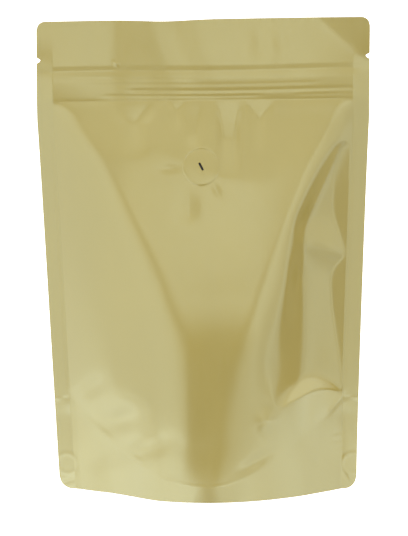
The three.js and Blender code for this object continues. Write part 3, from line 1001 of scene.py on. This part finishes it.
# %% [markdown]
# ## Valve rubber, with painted shade in the slit
# The dark spot in the slit is the valve's rubber leaf. Its near-black colour is partly painted shade for
# the inside of the hole. A film of silicone oil lies on it, shiny in patches.

# %% Rubber material
# Near-black: partly the rubber's own colour, partly painted shade inside the slit.
OILED_RUBBER_AND_SLIT_SHADE = "#1A120A"
OIL_PATCHES = (0.8, 0.8, 0.8)
OIL_ROUGHNESS = {"To Min": 0.35, "To Max": 0.65}
rubber_and_slit_shade_look, rubber_and_slit_shade_tree, rubber_and_slit_shade_surface = new_material(
    "silicone oil on black valve rubber, moulded", {"Base Color": linear(OILED_RUBBER_AND_SLIT_SHADE)}
)
oil = grain(rubber_and_slit_shade_tree, OIL_PATCHES)
patches = add_node(rubber_and_slit_shade_tree, "ShaderNodeMapRange", OIL_ROUGHNESS, {"Value": oil})
rubber_and_slit_shade_tree.links.new(patches.outputs["Result"], rubber_and_slit_shade_surface.inputs["Roughness"])
print("material:", rubber_and_slit_shade_look.name)

# %% [markdown]
# ## Materials on the pieces
# The pouch and the valve's disc are the same film. Only the inside of the slit is rubber, coloured
# near-black
# as painted shade: the first two rows of faces and the last face, which closes the slit.

# %% Give the pieces their materials
SHADED_RUBBER_ROWS = 2
pouch_film.data.materials.append(film_look)
valve_disc.data.materials.append(film_look)
valve_disc.data.materials.append(rubber_and_slit_shade_look)
slit_floor = len(disc_faces) - 1
for face in valve_disc.data.polygons:
    face.material_index = int(face.index < SHADED_RUBBER_ROWS * VALVE_SIDES or face.index == slit_floor)
print("faces of rubber:", sum(face.material_index for face in valve_disc.data.polygons))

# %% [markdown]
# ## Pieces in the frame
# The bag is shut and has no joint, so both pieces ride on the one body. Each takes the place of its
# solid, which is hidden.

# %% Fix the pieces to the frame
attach(pouch_film, "root")
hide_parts("pouch")
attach(valve_disc, "root")
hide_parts("valve")
print("pieces:", pouch_film.name, valve_disc.name)

# %% [markdown]
# ## Studio floor
# The bag stands on a sheet of white paper that is lit until it is nearly as white as the background. What
# the film mirrors of the floor is set by the cards further down, so the paper itself isn't mirrored. Its
# fibres make it dull. Real ones are finer, and they are drawn this coarse so that they can show.

# %% Floor
FLOOR_RADIUS, FLOOR_SIDES, FLOOR_DROP = 6.0, 64, 0.2
PAPER, PAPER_LIGHT, PAPER_GLOW = "#F4F4F2", "#FFFFFF", 0.95
PAPER_FIBRES = (0.6, 0.6, 0.6)
PAPER_ROUGHNESS = {"To Min": 0.82, "To Max": 0.95}
bpy.ops.mesh.primitive_circle_add(
    vertices=FLOOR_SIDES, radius=FLOOR_RADIUS, fill_type="NGON", location=(0, 0, -FLOOR_DROP * MM)
)
floor = bpy.context.object
floor.name = "studio_floor"
floor_look, floor_tree, floor_surface = new_material(
    "white paper backdrop, calendered",
    {
        "Base Color": linear(PAPER),
        "Emission Color": linear(PAPER_LIGHT),
        "Emission Strength": PAPER_GLOW,
    },
)
fibres = grain(floor_tree, PAPER_FIBRES)
paper = add_node(floor_tree, "ShaderNodeMapRange", PAPER_ROUGHNESS, {"Value": fibres})
floor_tree.links.new(paper.outputs["Result"], floor_surface.inputs["Roughness"])
floor.data.materials.append(floor_look)
floor.visible_glossy = False
floor.visible_diffuse = False
floor.visible_shadow = False
print("material:", floor_look.name)

# %% [markdown]
# ## Studio walls
# The bag stands in a room of pale walls: a bright one on the left, a dimmer one on the right and a band
# of light above the camera. The gap between them, where the camera stands, is dark. Film shows every
# edge of such a room as a soft stripe, so the stripes down the middle of the bag are this gap. Each wall
# is an area light that the camera doesn't see, placed by the angles at which the bag sees it.

# %% Walls of light
WHITE_LIGHT, WARM_LIGHT = "#FFFFFF", "#FFE8BC"
BAG_MIDDLE = Vector((0, 0, 0.115))
WALL_DISTANCE = 2.5


def glowing_panel(name, width, height, radiance, lights_room, colour=WHITE_LIGHT):
    """A panel with the same glow all over, which the film mirrors and which may light the room too."""
    light = bpy.data.lights.new(name, "AREA")
    light.shape = "RECTANGLE"
    light.size, light.size_y = width, height
    light.energy = radiance * width * height * np.pi
    light.color = linear(colour)[:3]
    lamp = bpy.data.objects.new(name, light)
    lamp.visible_camera = False
    lamp.visible_diffuse = lights_room
    bpy.context.scene.collection.objects.link(lamp)
    return lamp


def wall(name, turns, climbs, radiance, lights_room=True, colour=WHITE_LIGHT):
    """An upright panel, seen from the bag between two turns to the right and two climbs, in degrees."""
    middle = np.radians(sum(turns) / 2)
    width = 2 * WALL_DISTANCE * np.tan(np.radians(turns[1] - turns[0]) / 2)
    bottom, top = WALL_DISTANCE * np.tan(np.radians(climbs))
    lamp = glowing_panel(name, width, top - bottom, radiance, lights_room, colour)
    outward = Vector((np.sin(middle), -np.cos(middle), 0))
    lamp.location = BAG_MIDDLE + WALL_DISTANCE * outward + Vector((0, 0, (bottom + top) / 2))
    lamp.rotation_euler = (-outward).to_track_quat("-Z", "Y").to_euler()


wall("left wall", (-105, -28), (-24, 21), 1.18)
wall("left wall edge", (-28, -7.5), (-24, 4), 1.25)
wall("left wall edge's top", (-28, -9.5), (4, 21), 1.25)
wall("left wall's floor", (-105, -7.5), (-60, -24), 1.18, lights_room=False)
wall("right wall edge", (8.5, 19), (0, 4), 1.3)
wall("right wall edge's top", (10, 19), (4, 21), 1.4)
wall("right wall foot", (8.5, 19), (-24, 0), 0.85)
wall("right wall near", (19, 27), (-24, 5), 1.0)
wall("right wall", (27, 48), (-24, 5), 0.78)
wall("right wall end", (48, 62), (-22, 5), 1.05)
wall("right wall's far end", (62, 79), (-22, 5), 0.8)
wall("right wall top", (19, 79), (5, 21), 0.9)
wall("right wall's floor", (8.5, 79), (-60, -22), 0.75, lights_room=False)
wall("dim wall behind the camera", (-7.5, 8.5), (-60, 6), 0.17, lights_room=False)
wall("dim right corner", (79, 97), (-22, 21), 0.35, lights_room=False, colour=WARM_LIGHT)
wall("dim right corner's end", (97, 125), (-22, 21), 0.5, lights_room=False, colour=WARM_LIGHT)
wall("dim right corner's floor", (79, 125), (-60, -22), 0.8, lights_room=False, colour=WARM_LIGHT)
wall("light band above the camera", (-5, 6), (11, 21), 1.5)
wall("light band's lower edge", (-5, 6), (6, 11), 0.78)
wall("back left wall", (125, 170), (-60, 21), 1.2)
wall("back right wall", (191, 246), (-60, 21), 0.9)
wall("back light band", (175, 186), (9.5, 21), 1.65)
print("walls of light:", len(bpy.data.lights))

# %% [markdown]
# ## Cards on the floor
# The lower part of the bag and its skirts look down a little, so they mirror the floor close by. It is
# brighter on the left and falls off with distance. Flat cards of light make these steps, and only the
# film's shine sees them.


# %% Floor cards
def floor_card(name, x, y, radiance):
    """A card that lies on the floor, between two places across and two in depth, in millimetres."""
    width, depth = (x[1] - x[0]) * MM, (y[1] - y[0]) * MM
    lamp = glowing_panel(name, width, depth, radiance, lights_room=False)
    lamp.location = (sum(x) / 2 * MM, sum(y) / 2 * MM, 0)
    lamp.rotation_euler = (np.pi, 0, 0)


FLOOR_CARDS = [
    ("left card near the bag", (-72, -5), (-50, 0), 0.9),
    ("left card beside the bag", (-72, -36), (-75, -50), 0.9),
    ("left card under the corner", (-95, -72), (-20, 10), 0.87),
    ("left card before the corner", (-95, -72), (-75, -20), 0.66),
    ("left card at the side", (-150, -95), (-75, 10), 0.85),
    ("left card, second step", (-200, -150), (-75, 10), 0.6),
    ("left card, third step", (-270, -200), (-110, 10), 0.4),
    ("left card, fourth step", (-380, -270), (-150, 10), 0.28),
    ("left card, last step", (-550, -380), (-220, 10), 0.18),
    ("left card in front", (-80, -36), (-150, -75), 0.6),
    ("left card by the gap", (-36, -24), (-150, -75), 0.6),
    ("left card beside the gap", (-36, -5), (-75, -50), 0.25),
    ("left card far in front", (-200, -80), (-150, -75), 0.45),
    ("middle card", (-5, 9), (-50, -20), 0.5),
    ("middle card in front", (-5, 9), (-150, -50), 0.45),
    ("right card near the bag", (9, 60), (-75, 0), 0.65),
    ("right card", (60, 150), (-75, 10), 0.65),
    ("right card, second step", (60, 100), (-110, -75), 0.35),
    ("right card at the side", (150, 235), (-75, 10), 0.85),
    ("right card in front", (100, 140), (-180, -75), 0.75),
]
for card in FLOOR_CARDS:
    floor_card(*card)
print("cards on the floor:", len(FLOOR_CARDS))

# %% [markdown]
# ## Ceiling
# Above the walls the room is a soft ceiling that gets brighter towards its top. It is the world's own
# light, by the height of each direction. Behind the bag the picture is plain white.

# %% Room
ROOM_DIM, ROOM_CEILING, ROOM_TOP = 0.2, 0.95, 1.45
CEILING_FROM, CEILING_FULL, TOP_FROM, TOP_FULL = np.sin(np.radians([19, 24, 30, 40]))
world = bpy.data.worlds.new("studio")
world.use_nodes = True
bpy.context.scene.world = world
room = world.node_tree
room.nodes.clear()
ray = add_node(room, "ShaderNodeTexCoord")
height = add_node(room, "ShaderNodeSeparateXYZ", links={"Vector": ray.outputs["Generated"]})
glow = add_node(
    room,
    "ShaderNodeMapRange",
    {"From Min": CEILING_FROM, "From Max": CEILING_FULL, "To Min": ROOM_DIM, "To Max": ROOM_CEILING},
    {"Value": height.outputs["Z"]},
)
glow_top = add_node(
    room,
    "ShaderNodeMapRange",
    {"From Min": TOP_FROM, "From Max": TOP_FULL, "To Min": 0.0, "To Max": ROOM_TOP - ROOM_CEILING},
    {"Value": height.outputs["Z"]},
)
both = add_node(room, "ShaderNodeMath", links={0: glow.outputs["Result"], 1: glow_top.outputs["Result"]})
lit = add_node(
    room, "ShaderNodeBackground", {"Color": linear(WHITE_LIGHT)}, {"Strength": both.outputs[0]}
)
white = add_node(room, "ShaderNodeBackground", {"Color": linear(WHITE_LIGHT), "Strength": 1.0})
path = add_node(room, "ShaderNodeLightPath")
seen = add_node(
    room,
    "ShaderNodeMixShader",
    links={0: path.outputs["Is Camera Ray"], 1: lit.outputs[0], 2: white.outputs[0]},
)
add_node(room, "ShaderNodeOutputWorld", links={"Surface": seen.outputs[0]})
bpy.context.scene.view_settings.view_transform = "Standard"
print("nodes in the room's tree:", len(room.nodes))

# %% [markdown]
# ## Camera
# The picture is taken from a little above, with a long lens from far away, so the bag's edges stay
# nearly parallel. The image is 408 by 536 pixels.

# %% Camera
CAMERA_CLIMB, CAMERA_DISTANCE = 10.33, 1.2
FOCAL_PIXELS, IMAGE_HEIGHT, SENSOR = 2375.7, 536, 36.0
AIM_ASIDE, AIM_HEIGHT = -2.31, 114.8
aim = Vector(((SIDE_SHIFT + AIM_ASIDE) * MM, 0, AIM_HEIGHT * MM))
camera_data = bpy.data.cameras.new("camera")
camera_data.sensor_width = SENSOR
camera_data.lens = FOCAL_PIXELS * SENSOR / IMAGE_HEIGHT
camera = bpy.data.objects.new("camera", camera_data)
climb = np.radians(CAMERA_CLIMB)
camera.location = aim + CAMERA_DISTANCE * Vector((0, -np.cos(climb), np.sin(climb)))
camera.rotation_euler = (aim - camera.location).to_track_quat("-Z", "Y").to_euler()
bpy.context.scene.collection.objects.link(camera)
bpy.context.scene.camera = camera
print("lens, mm:", round(camera_data.lens, 1))
